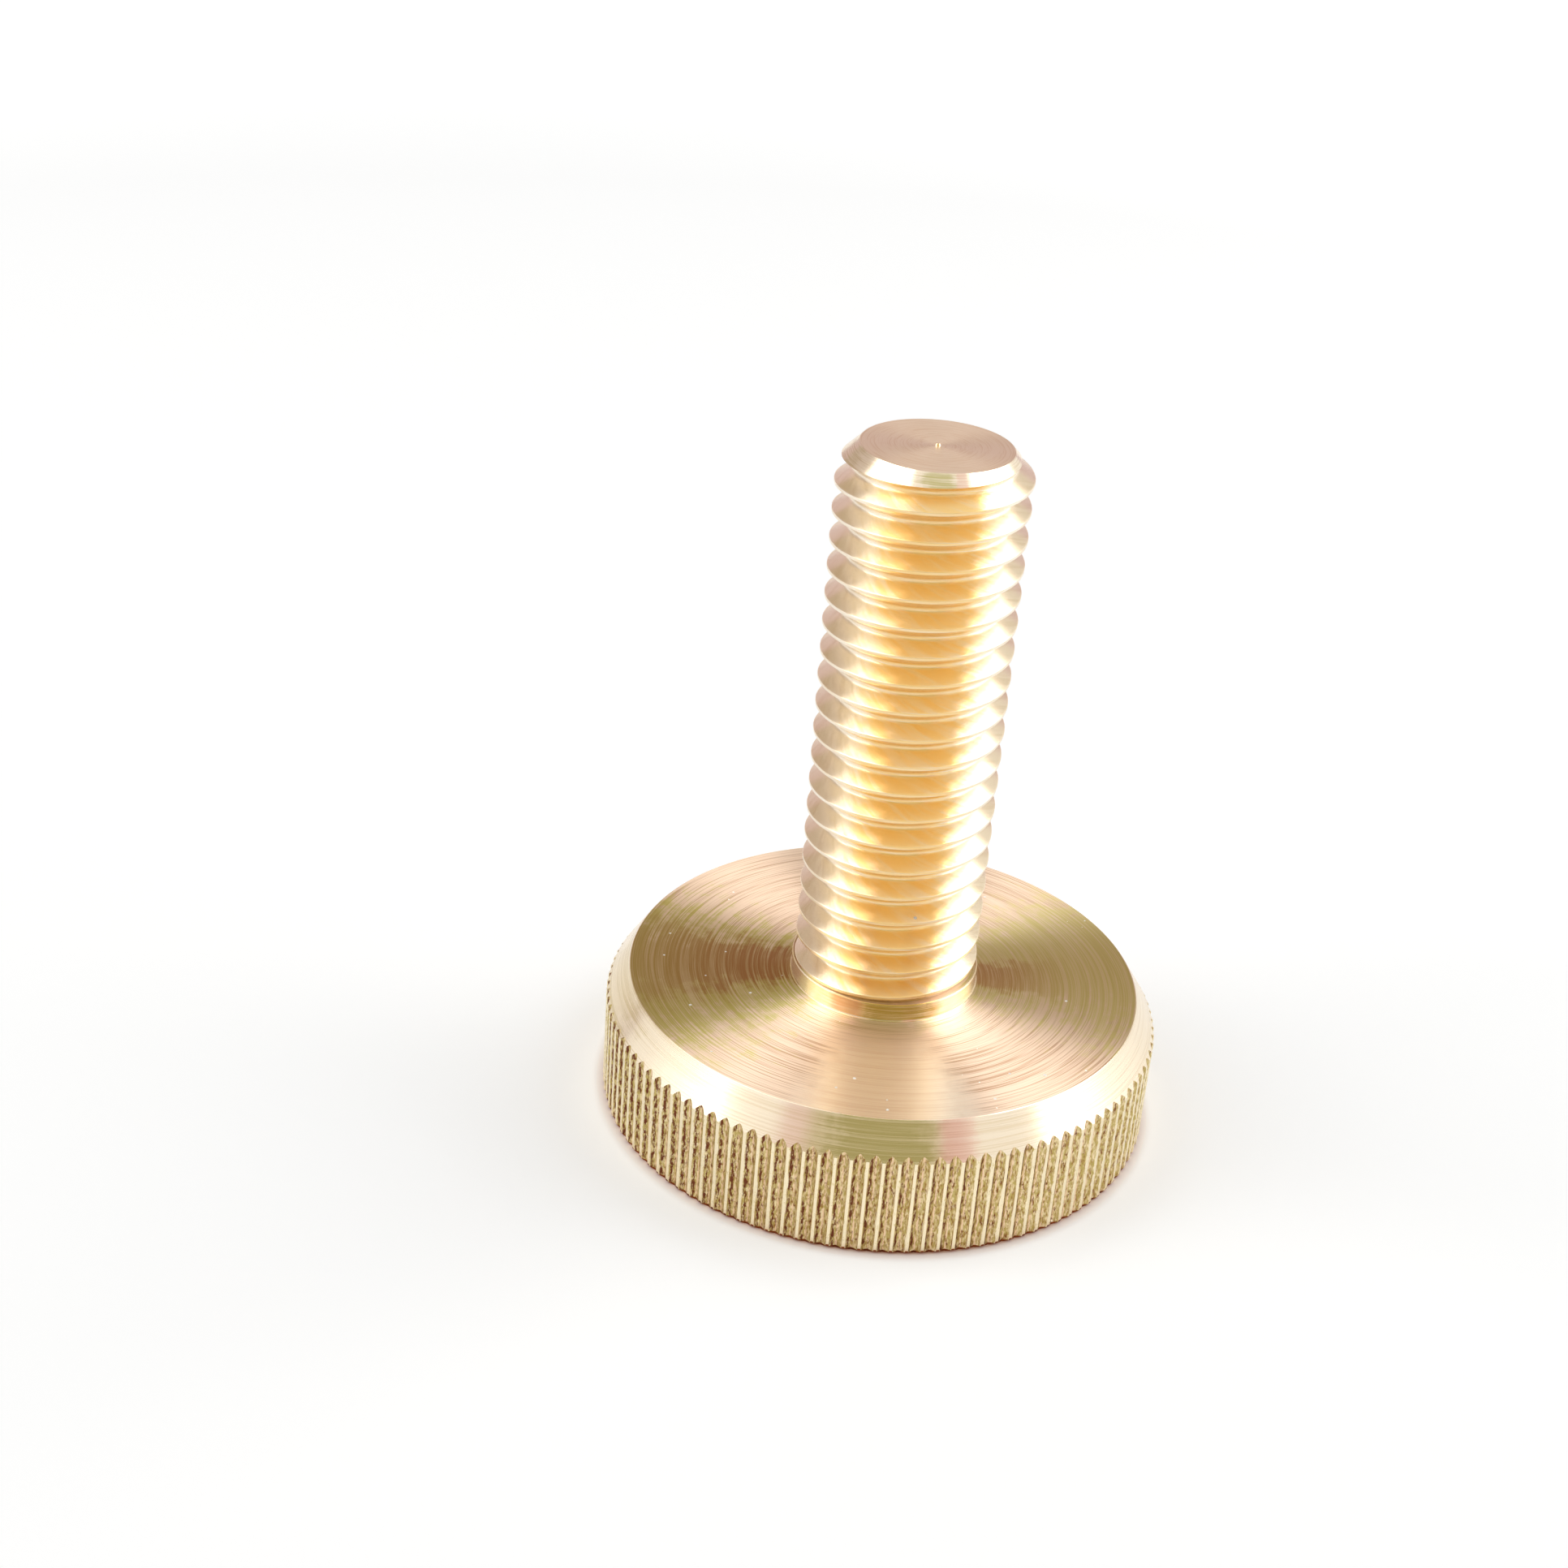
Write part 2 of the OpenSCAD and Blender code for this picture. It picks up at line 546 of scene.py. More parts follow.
    def blank(self) -> bpy.types.Object:
        """The turned outline that cuts the helix to length and chamfers its tip.

        Returns:
            A closed body of revolution.
        """
        outer = self.thread.outer_radius + self.margin
        tip_radius = self.thread.outer_radius - self.tip_chamfer
        foot = self.seat_height - self.thread.pitch / 2
        shoulder = self.top - self.tip_chamfer - self.margin
        deselect_all()
        bpy.ops.mesh.primitive_circle_add(
            vertices=self.blank_sides, radius=outer * MM, location=(0.0, 0.0, 0.0)
        )
        blank = lift_new(foot * MM)
        ring_out(1.0, (shoulder - foot) * MM)
        ring_out(tip_radius / outer, (self.top - shoulder) * MM)
        for height in (foot, self.top):
            select_vertices(blank, lambda _, place: abs(place.z - height * MM) < DOUBLED)
            bpy.ops.mesh.edge_face_add()
        bpy.ops.object.mode_set(mode="OBJECT")
        recalculate_normals(blank)
        return blank

    def pip(self) -> bpy.types.Object:
        """The small nib that facing leaves in the middle of the tip.

        Returns:
            A closed body, sunk into the tip.
        """
        deselect_all()
        bpy.ops.mesh.primitive_cone_add(
            vertices=self.pip_sides,
            radius1=self.pip_radius * MM,
            radius2=self.pip_radius / 2 * MM,
            depth=2 * self.pip_height * MM,
            location=(0.0, 0.0, 0.0),
        )
        pip = lift_new(self.top * MM)
        bpy.ops.object.mode_set(mode="OBJECT")
        return pip


# ---------------------------------------------------------------------------------------------- finishes


def srgb(code: str) -> tuple[float, float, float, float]:
    """Turns a hex sRGB colour into linear red, green, blue and alpha.

    Args:
        code: Six hex digits after a hash sign.

    Returns:
        The linear colour, opaque.
    """
    channels = [int(code[i : i + 2], 16) / 255 for i in (1, 3, 5)]
    linear = [c / 12.92 if c <= 0.04045 else ((c + 0.055) / 1.055) ** 2.4 for c in channels]
    return (linear[0], linear[1], linear[2], 1.0)


def empty_tree(owner: bpy.types.Material | bpy.types.World) -> bpy.types.NodeTree:
    """Turns nodes on for a material or a world, and clears them.

    Args:
        owner: The material or world.

    Returns:
        Its empty node tree.
    """
    owner.use_nodes = True
    owner.node_tree.nodes.clear()
    return owner.node_tree


def add_node(
    tree: bpy.types.NodeTree, kind: str, inputs: dict[object, object] | None = None, **settings: object
) -> bpy.types.Node:
    """Adds one shader node with its settings, values and links.

    Args:
        tree: The node tree to add to.
        kind: The node's type, without the ShaderNode prefix.
        inputs: Input name or number to a value, or to the output or the node that feeds it.
        **settings: The node's own properties.

    Returns:
        The node.
    """
    node = tree.nodes.new("ShaderNode" + kind)
    for name, value in settings.items():
        setattr(node, name, value)
    for name, value in (inputs or {}).items():
        if isinstance(value, bpy.types.Node):
            value = next(socket for socket in value.outputs if socket.enabled)
        if isinstance(value, bpy.types.NodeSocket):
            tree.links.new(value, node.inputs[name])
        else:
            node.inputs[name].default_value = value
    return node


class Region(Enum):
    """The surfaces of the screw that were finished differently."""

    FACED = "faced_brass"
    TIP = "faced_tip_brass"
    CHAMFERED = "chamfered_brass"
    KNURLED = "knurled_brass"
    THREADED = "die_cut_brass"
    # The broken edge's brown is painted shade where the screw meets the floor
    BROKEN_EDGE = "painted_shade_edge_brass"


@dataclass(frozen=True)
class Around:
    """What places a point round the screw's axis: its distance, its direction and its height, in metres."""

    place: Source
    radius: Source
    outward: Source
    height: Source

    @classmethod
    def of(cls, tree: bpy.types.NodeTree) -> "Around":
        """Adds the nodes that measure round the axis.

        Args:
            tree: The node tree to add to.

        Returns:
            The measures.
        """
        place = add_node(tree, "TexCoord").outputs["Object"]
        flat = add_node(tree, "VectorMath", {0: place, 1: (1.0, 1.0, 0.0)}, operation="MULTIPLY")
        radius = add_node(tree, "VectorMath", {0: flat}, operation="LENGTH")
        outward = add_node(tree, "VectorMath", {0: flat}, operation="NORMALIZE")
        height = add_node(tree, "SeparateXYZ", {0: place}).outputs["Z"]
        return cls(place, radius, outward, height)

    def rings(self, tree: bpy.types.NodeTree, spacing: float, arc: float, climb: float) -> Source:
        """A noise whose spots are drawn out into arcs round the axis, as a cutting tool leaves them.

        Args:
            tree: The node tree to add to.
            spacing: Distance from one arc to the next, in millimetres.
            arc: How often an arc breaks off; 1 is about once in 60 degrees.
            climb: How much of the height is added to the radius.

        Returns:
            The noise, from 0 to 1.
        """
        reach = add_node(
            tree, "Math", {0: self.height, 1: climb, 2: self.radius}, operation="MULTIPLY_ADD"
        )
        across = add_node(tree, "Math", {0: reach, 1: 1 / (spacing * MM)}, operation="MULTIPLY")
        lift = add_node(tree, "CombineXYZ", {"Z": across})
        turn = {0: self.outward, 1: (arc, arc, arc), 2: lift}
        spot = add_node(tree, "VectorMath", turn, operation="MULTIPLY_ADD")
        marks = {"Vector": spot, "Scale": 1.0, "Detail": 3.0, "Roughness": 0.65}
        return add_node(tree, "TexNoise", marks)


@dataclass(frozen=True)
class TarnishAndReflection:
    """A sector of colour round the axis, over which the tool marks still show as fine arcs.

    Its colour is partly thin tarnish and partly a painted reflection of the room, which stays on the
    screw as the view moves. It is full in colour at the radius `deep` and gone at `gone`. `fray` is how
    far the metal's patches and marks eat into its sides: near 0 they are smooth, and from about 2 on the
    sector falls apart into arcs.
    """

    azimuth: float
    spread: float
    color: str
    share: float
    deep: float = 0.0
    gone: float = 100.0
    fray: float = 2.5

    # Where it ends and where it is full, as shares of its spread
    END: ClassVar[float] = 1.1
    FULL: ClassVar[float] = 0.5
    # Over the tool marks' valleys it is thinner: the noise that counts as valley and as crest, and the
    # least that is left
    MARKS: ClassVar[Pair] = (0.38, 0.54)
    THINNEST: ClassVar[float] = 0.5

    def tint(
        self, tree: bpy.types.NodeTree, around: Around, marks: Source, ragged: Source, tone: object
    ) -> Source:
        """Mixes the sector's tarnish and painted reflection into a colour.

        Args:
            tree: The node tree to add to.
            around: What places a point.
            marks: The noise of the tool marks, between which the sector is thinner.
            ragged: A noise of mean 1 that breaks the sector's edge up.
            tone: The colour without the sector.

        Returns:
            The colour with it.
        """
        turn, spread = math.radians(self.azimuth), math.radians(self.spread)
        middle = (math.cos(turn), math.sin(turn), 0.0)
        toward = add_node(tree, "VectorMath", {0: around.outward, 1: middle}, operation="DOT_PRODUCT")
        away = add_node(tree, "Math", {0: toward}, operation="ARCCOSINE")
        frayed = add_node(
            tree, "Math", {0: ragged, 1: -self.fray * spread, 2: away}, operation="MULTIPLY_ADD"
        )
        side = {
            "Value": frayed,
            "From Min": (self.END - self.fray) * spread,
            "From Max": (self.FULL - self.fray) * spread,
            "To Max": self.share,
        }
        share = add_node(tree, "MapRange", side, interpolation_type="SMOOTHSTEP")
        reach = {"Value": around.radius, "From Min": self.gone * MM, "From Max": self.deep * MM}
        inward = add_node(tree, "MapRange", reach, interpolation_type="SMOOTHSTEP")
        share = add_node(tree, "Math", {0: share, 1: inward}, operation="MULTIPLY")
        valley, crest = self.MARKS
        thin = {"Value": marks, "From Min": valley, "From Max": crest, "To Min": self.THINNEST}
        lines = add_node(tree, "MapRange", thin)
        share = add_node(tree, "Math", {0: share, 1: lines}, operation="MULTIPLY")
        return add_node(tree, "Mix", {0: share, 6: tone, 7: srgb(self.color)}, data_type="RGBA")


@dataclass(frozen=True)
class TurnedBrass:
    """Free-cutting brass left as the lathe tool cut it: bright, with fine arcs of tool marks round the axis.

    The marks spread a reflection across them and hardly at all along them, so a flat face shows fans of
    light and dark that meet at the axis.
    """

    region: Region
    color: str = "#E8D0B8"
    tarnish: str = "#AE8462"
    tarnish_share: float = 0.75
    # The colour painted on the faces that look up the shank, where it differs from the others': a painted
    # tone of the light that the thread's flanks reflect onto each other
    upward_painted_gold: str = ""
    roughness: float = 0.36
    anisotropy: float = 1.0
    # The marks spread reflections up the axis, not out from it
    along_axis: bool = False
    # The tool's feed in one turn. The marks are a micrometre or two deep, and drawn deeper so that they
    # show. `climb` is how much of the height counts as radius, for a surface that also climbs.
    mark_spacing: float = 0.07
    mark_height: float = 0.0025
    climb: float = 0.0
    # One speck may lie in each cell of this size. Real dust is a few times finer, too fine to show.
    dust_spacing: float = 1.1
    dust_share: float = 0.05
    dust: str = "#FFFCF4"
    pit: str = "#5A3A24"
    # Sectors of colour painted partly as tarnish and partly as reflections of the room, fixed to the screw
    tarnish_and_reflections: tuple[TarnishAndReflection, ...] = ()

    # How often the fine and the broad arcs break off, how much wider apart the broad ones lie, which are
    # the tool's slow chatter, and how much more the fine ones count
    FINE_ARC: ClassVar[float] = 1.5
    BROAD_ARC: ClassVar[float] = 0.8
    BROADER: ClassVar[float] = 9.0
    FINE_WEIGHT: ClassVar[float] = 4.0
    # The sum of the two at which tarnish starts and is full
    TARNISHED: ClassVar[Pair] = (2.4, 3.0)
    # How much a face looks up where the upward colour starts and is full
    LOOKS_UP: ClassVar[Pair] = (0.2, 0.7)
    # Size of the patches that fray a sector, in millimetres
    PATCH: ClassVar[float] = 0.8
    # A speck's largest radius as a share of the spacing, and the share of specks that are bright dust
    SPECK: ClassVar[float] = 0.11
    BRIGHT_SPECKS: ClassVar[float] = 0.8

    def make(self) -> bpy.types.Material:
        """Builds the material.

        Returns:
            The material.
        """
        material = bpy.data.materials.new(self.region.value)
        tree = empty_tree(material)
        around = Around.of(tree)
        fine = around.rings(tree, self.mark_spacing, self.FINE_ARC, self.climb)
        broad = around.rings(tree, self.BROADER * self.mark_spacing, self.BROAD_ARC, self.climb)
        weighed = {0: fine, 1: self.FINE_WEIGHT, 2: broad}
        both = add_node(tree, "Math", weighed, operation="MULTIPLY_ADD")
        start, full = self.TARNISHED
        dark = {"Value": both, "From Min": start, "From Max": full, "To Max": self.tarnish_share}
        share = add_node(tree, "MapRange", dark)
        tone = add_node(
            tree, "Mix", {0: share, 6: self.clean(tree), 7: srgb(self.tarnish)}, data_type="RGBA"
        )
        tone = self.with_tarnish_and_reflections(tree, around, fine, tone)
        tone, bare = self.dusted(tree, around, tone)
        depth = 2 * self.mark_height * MM
        bump = add_node(tree, "Bump", {"Height": fine, "Distance": depth, "Strength": 1.0})
        # Left unlinked, the tangent would follow the mesh and not the tool
        tangent = add_node(tree, "CombineXYZ", {"Z": 1.0}) if self.along_axis else around.outward
        shader = add_node(
            tree,
            "BsdfPrincipled",
            {
                "Base Color": tone,
                "Metallic": bare,
                "Roughness": self.roughness,
                "Anisotropic": self.anisotropy,
                "Normal": bump,
                "Tangent": tangent,
            },
        )
        add_node(tree, "OutputMaterial", {"Surface": shader})
        return material

    def clean(self, tree: bpy.types.NodeTree) -> object:
        """The untarnished colour, with any painted tone of light on the faces that look up the shank.

        Args:
            tree: The node tree to add to.

        Returns:
            The colour, or the node that gives it.
        """
        if not self.upward_painted_gold:
            return srgb(self.color)
        look = add_node(tree, "SeparateXYZ", {0: add_node(tree, "TexCoord").outputs["Normal"]})
        start, full = self.LOOKS_UP
        upward_painted_gold = {"Value": look.outputs["Z"], "From Min": start, "From Max": full}
        share = add_node(tree, "MapRange", upward_painted_gold)
        colors = {0: share, 6: srgb(self.color), 7: srgb(self.upward_painted_gold)}
        return add_node(tree, "Mix", colors, data_type="RGBA")

    def with_tarnish_and_reflections(self, tree: bpy.types.NodeTree, around: Around, marks: Source, tone: Source) -> Source:
        """Adds the sectors of tarnish and painted reflection, which the tool marks draw out into streaks.

        Args:
            tree: The node tree to add to.
            around: What places a point.
            marks: The noise of the tool marks.
            tone: The colour without the sectors.

        Returns:
            The colour with them.
        """
        if not self.tarnish_and_reflections:
            return tone
        scale = 1 / (self.PATCH * MM)
        patches = {"Vector": around.place, "Scale": scale, "Detail": 3.0, "Roughness": 0.6}
        cloud = add_node(tree, "TexNoise", patches)
        ragged = add_node(tree, "Math", {0: marks, 1: cloud}, operation="ADD")
        for sector in self.tarnish_and_reflections:
            tone = sector.tint(tree, around, marks, ragged, tone)
        return tone

    def dusted(self, tree: bpy.types.NodeTree, around: Around, tone: Source) -> tuple[Source, Source]:
        """Scatters pale specks of dust and a few dark pits, one or two tenths of a millimetre across.

        Args:
            tree: The node tree to add to.
            around: What places a point.
            tone: The colour without dust.

        Returns:
            The colour with it, and a share that is 0 where a speck hides the metal and 1 elsewhere.
        """
        cells = {"Vector": around.place, "Scale": 1 / (self.dust_spacing * MM)}
        cell = add_node(tree, "TexVoronoi", cells)
        chance = add_node(tree, "SeparateXYZ", {0: cell.outputs["Color"]}).outputs
        chosen = add_node(tree, "Math", {0: chance["X"], 1: self.dust_share}, operation="LESS_THAN")
        small = add_node(tree, "Math", {0: chance["Y"], 1: self.SPECK}, operation="MULTIPLY")
        near = add_node(tree, "Math", {0: cell.outputs["Distance"], 1: small}, operation="LESS_THAN")
        speck = add_node(tree, "Math", {0: chosen, 1: near}, operation="MULTIPLY")
        dark = add_node(tree, "Math", {0: chance["Z"], 1: self.BRIGHT_SPECKS}, operation="GREATER_THAN")
        grains = add_node(tree, "Mix", {0: dark, 6: srgb(self.dust), 7: srgb(self.pit)}, data_type="RGBA")
        mixed = add_node(tree, "Mix", {0: speck, 6: tone, 7: grains}, data_type="RGBA")
        bare = add_node(tree, "Math", {0: 1.0, 1: speck}, operation="SUBTRACT")
        return mixed, bare


@dataclass(frozen=True)
class KnurledBrass:
    """Brass with a rolled straight knurl: burnished lands between torn grooves that hold dirt and tarnish.

    The eye sees smooth cream stripes, and between them rough olive and brown walls with painted glints
    where the brass tore, a painted highlight along each groove's floor where a fine burr catches the
    light, and painted shade beside one side of each ridge, which draws dark crumbs there. Pairs of
    numbers are the noise at which a thing starts and at which it is full, unless a comment says otherwise.
    """

    region: Region
    teeth: int = 117
    land: str = "#FAECCA"
    wall: str = "#C4B06C"
    rust: str = "#9C6834"
    # Painted glints on the torn walls
    bright: str = "#F4E2B8"
    # A painted highlight along each groove's floor, where a fine burr catches the light
    floor: str = "#F4D8B6"
    # Dark crumbs of dirt, and painted shade beside one side of each ridge
    dirt_and_shade: str = "#74402A"
    # The torn grit: its size across and along the grooves. Real grit is about half as big, too fine to show.
    grain: float = 0.1
    streak: float = 0.3
    painted_glint: Pair = (0.44, 0.68)
    # Crumbs of tarnish and dirt are coarser than the grit and never hide the wall's colour altogether
    crumb_scale: float = 0.77
    brown: Pair = (0.46, 0.62)
    brown_share: float = 0.9
    soil_and_shade: Pair = (0.57, 0.68)
    # The floor's painted highlight line, and the painted shade with dirt under the side of each ridge that
    # the roll pushed over: the middle and the half width as shares of a tooth, from one ridge's middle to
    # the next one's
    burr_highlight_line: Pair = (0.52, 0.1)
    burr_highlight_breaks: Pair = (0.38, 0.5)
    ridge_shade: Pair = (0.24, 0.14)
    ridge_shade_weight: float = 0.16
    # Radii at which the land ends and the groove's finish is full, and how ragged that line is
    land_end: Pair = (14.985, 14.95)
    raggedness: float = 0.2
    # Roughness of the land and of the groove, and how high the torn crumbs stand in it
    roughness: Pair = (0.25, 0.5)
    tear_height: float = 0.025

    # The inner part of a band that is full, as a share of its half width
    CORE: ClassVar[float] = 0.3

    def make(self) -> bpy.types.Material:
        """Builds the material.

        Returns:
            The material.
        """
        material = bpy.data.materials.new(self.region.value)
        tree = empty_tree(material)
        around = Around.of(tree)
        across, along = 1 / (self.grain * MM), 1 / (self.streak * MM)
        spot = add_node(
            tree, "VectorMath", {0: around.place, 1: (across, across, along)}, operation="MULTIPLY"
        )
        grit = add_node(tree, "TexNoise", {"Vector": spot, "Scale": 1.0, "Detail": 2.0, "Roughness": 0.6})
        crumbs = {"Vector": spot, "Scale": self.crumb_scale, "Detail": 3.0, "Roughness": 0.75}
        crumb = add_node(tree, "TexNoise", crumbs)
        groove = self.groove(tree, self.place_in_tooth(tree, around), grit, crumb)
        ragged = add_node(
            tree, "Math", {0: crumb, 1: self.raggedness * MM, 2: around.radius}, operation="MULTIPLY_ADD"
        )
        start, full = self.land_end
        sunk = add_node(
            tree, "MapRange", {"Value": ragged, "From Min": start * MM, "From Max": full * MM}
        )
        tone = add_node(tree, "Mix", {0: sunk, 6: srgb(self.land), 7: groove}, data_type="RGBA")
        smooth, rough = self.roughness
        dull = add_node(tree, "MapRange", {"Value": sunk, "To Min": smooth, "To Max": rough})
        tear = {"Height": crumb, "Distance": self.tear_height * MM, "Strength": sunk}
        shader = add_node(
            tree,
            "BsdfPrincipled",
            {
                "Base Color": tone,
                "Metallic": 1.0,
                "Roughness": dull,
                "Normal": add_node(tree, "Bump", tear),
            },
        )
        add_node(tree, "OutputMaterial", {"Surface": shader})
        return material

    def groove(self, tree: bpy.types.NodeTree, tooth: Source, grit: Source, crumb: Source) -> Source:
        """Colours the groove: tarnished walls, painted glints and floor highlight, dirt and painted shade.

        Args:
            tree: The node tree to add to.
            tooth: The place in the tooth, from 0 to 1.
            grit: The noise of the torn metal.
            crumb: The noise of tarnish and dirt.

        Returns:
            The colour.
        """
        start, full = self.brown
        brown = {"Value": crumb, "From Min": start, "From Max": full, "To Max": self.brown_share}
        share = add_node(tree, "MapRange", brown)
        tone = add_node(tree, "Mix", {0: share, 6: srgb(self.wall), 7: srgb(self.rust)}, data_type="RGBA")
        start, full = self.painted_glint
        share = add_node(tree, "MapRange", {"Value": grit, "From Min": start, "From Max": full})
        tone = add_node(tree, "Mix", {0: share, 6: tone, 7: srgb(self.bright)}, data_type="RGBA")
        start, full = self.burr_highlight_breaks
        broken = add_node(tree, "MapRange", {"Value": grit, "From Min": start, "From Max": full})
        line = self.band(tree, tooth, self.burr_highlight_line)
        share = add_node(tree, "Math", {0: line, 1: broken}, operation="MULTIPLY")
        tone = add_node(tree, "Mix", {0: share, 6: tone, 7: srgb(self.floor)}, data_type="RGBA")
        ridge_shade = self.band(tree, tooth, self.ridge_shade)
        thick = add_node(tree, "Math", {0: ridge_shade, 1: self.ridge_shade_weight, 2: crumb}, operation="MULTIPLY_ADD")
        start, full = self.soil_and_shade
        share = add_node(tree, "MapRange", {"Value": thick, "From Min": start, "From Max": full})
        return add_node(tree, "Mix", {0: share, 6: tone, 7: srgb(self.dirt_and_shade)}, data_type="RGBA")

    def place_in_tooth(self, tree: bpy.types.NodeTree, around: Around) -> Source:
        """Measures how far round its own tooth a point lies.

        Args:
            tree: The node tree to add to.
            around: What places a point.

        Returns:
            What runs from 0 at one ridge's middle to 1 at the next one's.
        """
        sides = add_node(tree, "SeparateXYZ", {0: around.place}).outputs
        angle = add_node(tree, "Math", {0: sides["Y"], 1: sides["X"]}, operation="ARCTAN2")
        teeth = add_node(tree, "Math", {0: angle, 1: self.teeth / math.tau}, operation="MULTIPLY")
        return add_node(tree, "Math", {0: teeth}, operation="FRACT")

    def band(self, tree: bpy.types.NodeTree, tooth: Source, extent: Pair) -> Source:
        """Marks a soft upright band in every tooth.

        Args:
            tree: The node tree to add to.
            tooth: The place in the tooth, from 0 to 1.
            extent: Where the band is strongest, and how far from there it fades to nothing.

        Returns:
            The band, from 0 to 1.
        """
        middle, half_width = extent
        off = add_node(tree, "Math", {0: tooth, 1: middle}, operation="SUBTRACT")
        off = add_node(tree, "Math", {0: off}, operation="ABSOLUTE")
        core = self.CORE * half_width
        return add_node(tree, "MapRange", {"Value": off, "From Min": half_width, "From Max": core})


# ------------------------------------------------------------------------------------------------- screw


@dataclass
class ThumbScrew:
    """The whole screw: its head, its shank and the finish of each surface."""

    head: KnurledHead = field(default_factory=KnurledHead)
    shank: ThreadedShank = field(default_factory=ThreadedShank)
    finishes: tuple[TurnedBrass | KnurledBrass, ...] = (
        # The seat, faced with a pointed tool: fans of pinkish light and dark that meet at the shank;
        # olive and brown to its left and right, painted partly as tarnish and partly as reflections of
        # the room; and a pale foot in front of it, a painted reflection
        TurnedBrass(
            Region.FACED,
            dust_spacing=0.8,
            dust_share=0.35,
            tarnish_and_reflections=(
                TarnishAndReflection(-171.0, 40.0, "#C4BA66", 0.9, fray=1.6),
                TarnishAndReflection(-177.0, 20.0, "#A86844", 0.8, deep=6.5, gone=18.0, fray=1.6),
                TarnishAndReflection(10.0, 38.0, "#D4C882", 0.85, fray=1.6),
                TarnishAndReflection(2.0, 14.0, "#B4784E", 0.7, deep=5.5, gone=11.0, fray=1.6),
                TarnishAndReflection(-89.0, 22.0, "#FFF2DE", 1.0, deep=9.0, gone=4.5, fray=0.3),
                TarnishAndReflection(-90.0, 30.0, "#C4B678", 0.5, deep=5.0, gone=7.5),
            ),
        ),
        # The shank's tip and the head's flat end, faced with a finer cut: a paler and more even sheen
        TurnedBrass(
            Region.TIP,
            color="#F0DCC6",
            tarnish="#D8B48E",
            tarnish_share=0.4,
            roughness=0.34,
            anisotropy=0.6,
            mark_height=0.0015,
        ),
        # The chamfers and the neck, cut with the tool's flank: smooth and near white, with an olive and a
        # pink patch in front, painted partly as tarnish and partly as reflections of the room
        TurnedBrass(
            Region.CHAMFERED,
            color="#F6E6CC",
            tarnish="#DCC296",
            tarnish_share=0.4,
            roughness=0.22,
            anisotropy=0.8,
            climb=-0.6,
            mark_height=0.0012,
            tarnish_and_reflections=(
                TarnishAndReflection(-89.5, 12.0, "#BAB06C", 0.75, fray=1.0),
                TarnishAndReflection(-74.5, 4.5, "#E8B8A4", 0.55, fray=0.8),
                TarnishAndReflection(-172.0, 20.0, "#C8B078", 0.5, fray=1.2),
            ),
        ),
        KnurledBrass(Region.KNURLED),
        # The thread, cut with a die: glossy flanks, white at the sides and golden in front, and duller
        # crests there; the gold and the duller crests are painted partly as tarnish and partly as reflected
        # light
        TurnedBrass(
            Region.THREADED,
            color="#F7EBD8",
            tarnish="#EED8B6",
            # Painted light: a deeper gold on the faces that look up, for the light the flanks bounce onto
            # each other
            upward_painted_gold="#F6E4C6",
            roughness=0.27,
            anisotropy=0.95,
            along_axis=True,
            climb=2.0,
            mark_height=0.0006,
            tarnish_and_reflections=(
                TarnishAndReflection(-90.0, 44.0, "#FBD48A", 0.9, fray=0.6),
                TarnishAndReflection(-83.0, 23.0, "#B09840", 0.85, deep=4.99, gone=4.93, fray=1.0),
                TarnishAndReflection(-114.0, 12.0, "#E8B480", 0.85, deep=4.99, gone=4.93, fray=0.3),
            ),
        ),
        # The broken edge that the screw stands on: a thin dull brown line, painted shade where it meets the
        # floor
        TurnedBrass(
            Region.BROKEN_EDGE,
            color="#96542F",
            tarnish="#5E3222",
            roughness=0.45,
            anisotropy=0.0,
            along_axis=True,
        ),
    )

    # How much a face looks up where it counts as flat, as chamfer, and as facing down
    FLAT: ClassVar[float] = 0.98
    CHAMFER: ClassVar[float] = 0.4
    DOWN: ClassVar[float] = -0.15
    # The flat faces up to this many neck lengths from the seat are finished as it is
    SEAT_REACH: ClassVar[float] = 1.5
    # Share of the edge break that is brown where it doesn't face down, and how many breaks wide its ring is
    SHOWN_BREAK: ClassVar[float] = 0.48
    BREAK_RING: ClassVar[float] = 3.0
    # How far a face's middle may lie from the line or edge that it belongs to, in millimetres
    SLACK: ClassVar[float] = 0.1
    TIP_SLACK: ClassVar[float] = 0.01
    # Faces that meet at less than this are shaded as one
    SMOOTH_ANGLE: ClassVar[float] = 20.0

    def build(self) -> bpy.types.Object:
        """Builds the screw, dresses it and hands it over.

        Returns:
            The finished piece.
        """
        screw = self.head.build()
        combine(screw, self.shank.build(), "UNION")
        screw.name = "thumb_screw_brass"
        activate(screw)
        bpy.ops.object.shade_smooth_by_angle(angle=math.radians(self.SMOOTH_ANGLE))
        self.dress(screw)
        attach(screw, "root")
        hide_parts(NODE)
        return screw

